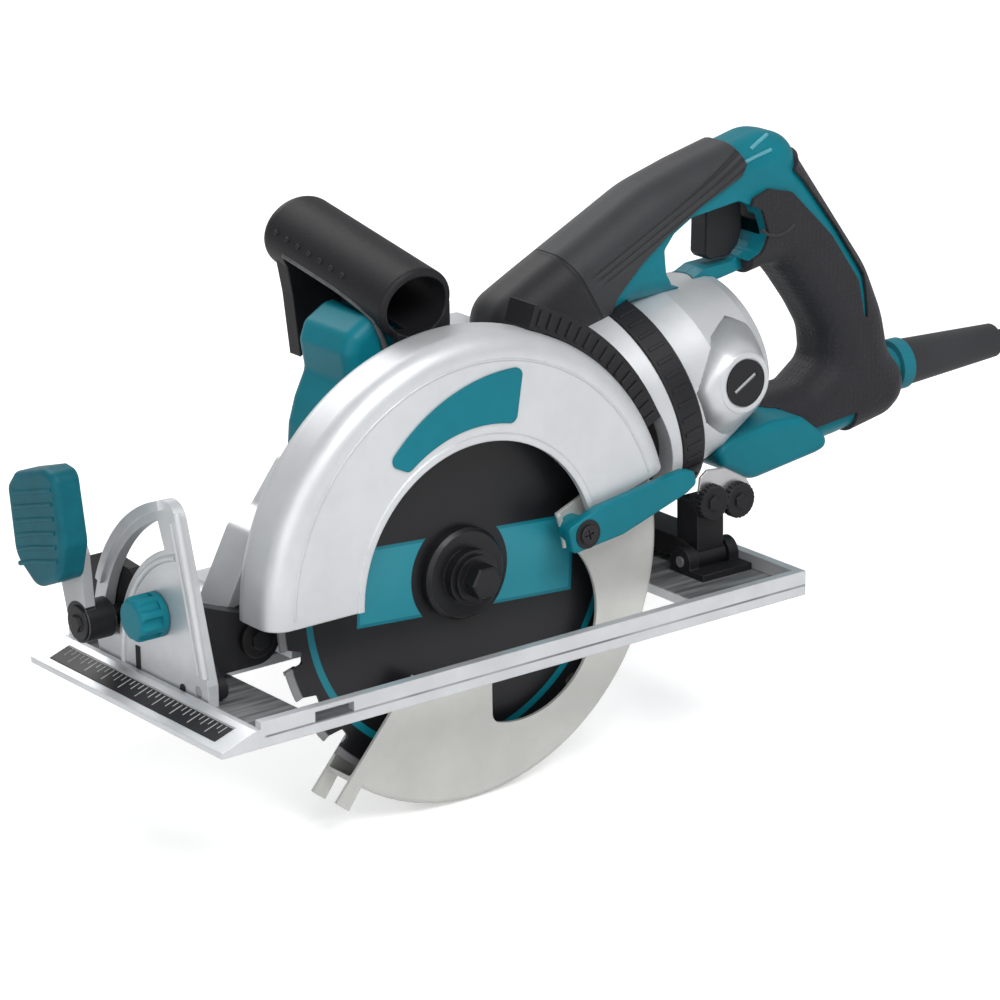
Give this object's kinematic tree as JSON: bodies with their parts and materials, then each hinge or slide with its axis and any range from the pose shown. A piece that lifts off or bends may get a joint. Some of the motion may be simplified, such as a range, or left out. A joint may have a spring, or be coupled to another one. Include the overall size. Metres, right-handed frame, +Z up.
{
  "type": "hypoid saw",
  "caption": "Corded circular saw with a tilted motor behind the blade, a hypoid gear drive, swing guard, tilting shoe, rear grip and front handle.",
  "frame": {"origin": "on the shoe's underside, in the blade's plane, straight below the arbor", "axes": "+X to the rear, +Y away from the blade side, +Z up, as the saw stands on its shoe"},
  "size_m": [0.6122, 0.2489, 0.2495],
  "materials": {
    "cast_silver": "satin cast",
    "guard_steel": "brushed",
    "black_casting": "satin black",
    "black_plastic": "matt",
    "teal_plastic": "satin",
    "black_rubber": "matt",
    "blade_black": "satin",
    "bright_steel": "bright",
    "core_iron": "plain",
    "copper": "bare",
    "carbon": "matt"
  },
  "bodies": {
    "saw_body": {"upper_guard": "cast_silver", "gear_housing": "cast_silver", "gear_cover": "cast_silver", "motor_housing": "cast_silver", "guard_shroud": "black_plastic", "baffle_ring": "black_plastic", "brush_caps": "black_plastic", "switch_box": "black_plastic", "brush_holders": "black_plastic", "plug": "black_plastic", "cord_tie": "black_plastic", "handle_left": "teal_plastic", "handle_right": "teal_plastic", "handle_saddle": "teal_plastic", "front_stalk": "teal_plastic", "guard_badge": "teal_plastic", "bar_skin": "black_rubber", "grip_skin": "black_rubber", "front_grip": "black_rubber", "cord_sleeve": "black_rubber", "cord": "black_rubber", "cord_coil": "black_rubber", "guard_screws": "bright_steel", "cover_screws": "bright_steel", "handle_screws": "bright_steel", "spindle_bearing": "bright_steel", "spindle_end_bearing": "bright_steel", "motor_front_bearing": "bright_steel", "motor_rear_bearing": "bright_steel", "bearing_retainer": "bright_steel", "guard_spring": "bright_steel", "field_core": "core_iron", "carbon_brushes": "carbon"},
    "blade_set": {"spindle": "guard_steel", "ring_gear": "bright_steel", "inner_flange": "guard_steel", "outer_flange": "guard_steel", "blade": "blade_black", "blade_bolt": "bright_steel"},
    "armature": {"pinion": "bright_steel", "armature_shaft": "bright_steel", "armature_core": "core_iron", "commutator": "copper", "fan": "black_plastic"},
    "lower_guard": {"lower_guard": "guard_steel", "guard_lever": "teal_plastic", "guard_lever_screw": "bright_steel"},
    "trigger": {"trigger": "black_plastic"},
    "shaft_lock": {"shaft_lock": "black_plastic"},
    "depth_lever": {"depth_lever": "black_plastic"},
    "tilt_frame": {"tilt_frame": "black_casting", "depth_guide": "guard_steel", "depth_pivot_pin": "bright_steel"},
    "bevel_lever": {"bevel_lever": "black_plastic", "bevel_pad": "teal_plastic"},
    "shoe": {"shoe": "cast_silver", "bevel_quadrant": "cast_silver", "rear_bracket": "black_casting", "bevel_pins": "bright_steel"},
    "stop_knob": {"bevel_stop_knob": "teal_plastic"}
  },
  "joints": [
    {"name": "blade_spin", "type": "hinge", "parent": "saw_body", "child": "blade_set", "pos_m": [0, 0, 0.0325], "axis": [0, -1, 0], "continuous": true},
    {"name": "armature_spin", "type": "hinge", "parent": "saw_body", "child": "armature", "pos_m": [-0.00235, 0.045, 0.04129], "axis": [0.9659, 0, 0.2588], "continuous": true},
    {"name": "lower_guard_swing", "type": "hinge", "parent": "saw_body", "child": "lower_guard", "pos_m": [0, 0, 0.0325], "axis": [0, -1, 0], "range_deg": [0, 105], "stiffness_Nm_per_rad": 0.3, "springref_deg": -22.92},
    {"name": "trigger_pull", "type": "hinge", "parent": "saw_body", "child": "trigger", "pos_m": [0.175, 0.045, 0.1575], "axis": [0, -1, 0], "range_deg": [0, 10], "stiffness_Nm_per_rad": 0.6, "springref_deg": -5.73},
    {"name": "shaft_lock_press", "type": "slide", "parent": "saw_body", "child": "shaft_lock", "axis": [0, -1, 0], "range_m": [0, 0.0035], "stiffness_N_per_m": 2000, "springref_m": -0.002},
    {"name": "depth_lever_turn", "type": "hinge", "parent": "saw_body", "child": "depth_lever", "pos_m": [0.03516, 0.086, 0.04703], "axis": [0, -1, 0], "range_deg": [0, 60]},
    {"name": "depth_pivot", "type": "hinge", "parent": "saw_body", "child": "tilt_frame", "pos_m": [-0.092, 0.045, 0.02], "axis": [0, 1, 0], "range_deg": [0, 30]},
    {"name": "bevel_lever_turn", "type": "hinge", "parent": "tilt_frame", "child": "bevel_lever", "pos_m": [-0.13, 0.06528, 0.02507], "axis": [-1, 0, 0], "range_deg": [0, 60]},
    {"name": "bevel_tilt", "type": "hinge", "parent": "tilt_frame", "child": "shoe", "pos_m": [0, 0, 0.01], "axis": [-1, 0, 0], "range_deg": [0, 51.5]},
    {"name": "stop_knob_turn", "type": "hinge", "parent": "shoe", "child": "stop_knob", "pos_m": [-0.131, 0.028, 0.036], "axis": [1, 0, 0], "range_deg": [0, 90]}
  ],
  "couplings": [
    {"joint": "armature_spin", "follows": "blade_spin", "ratio": -5.5714}
  ]
}
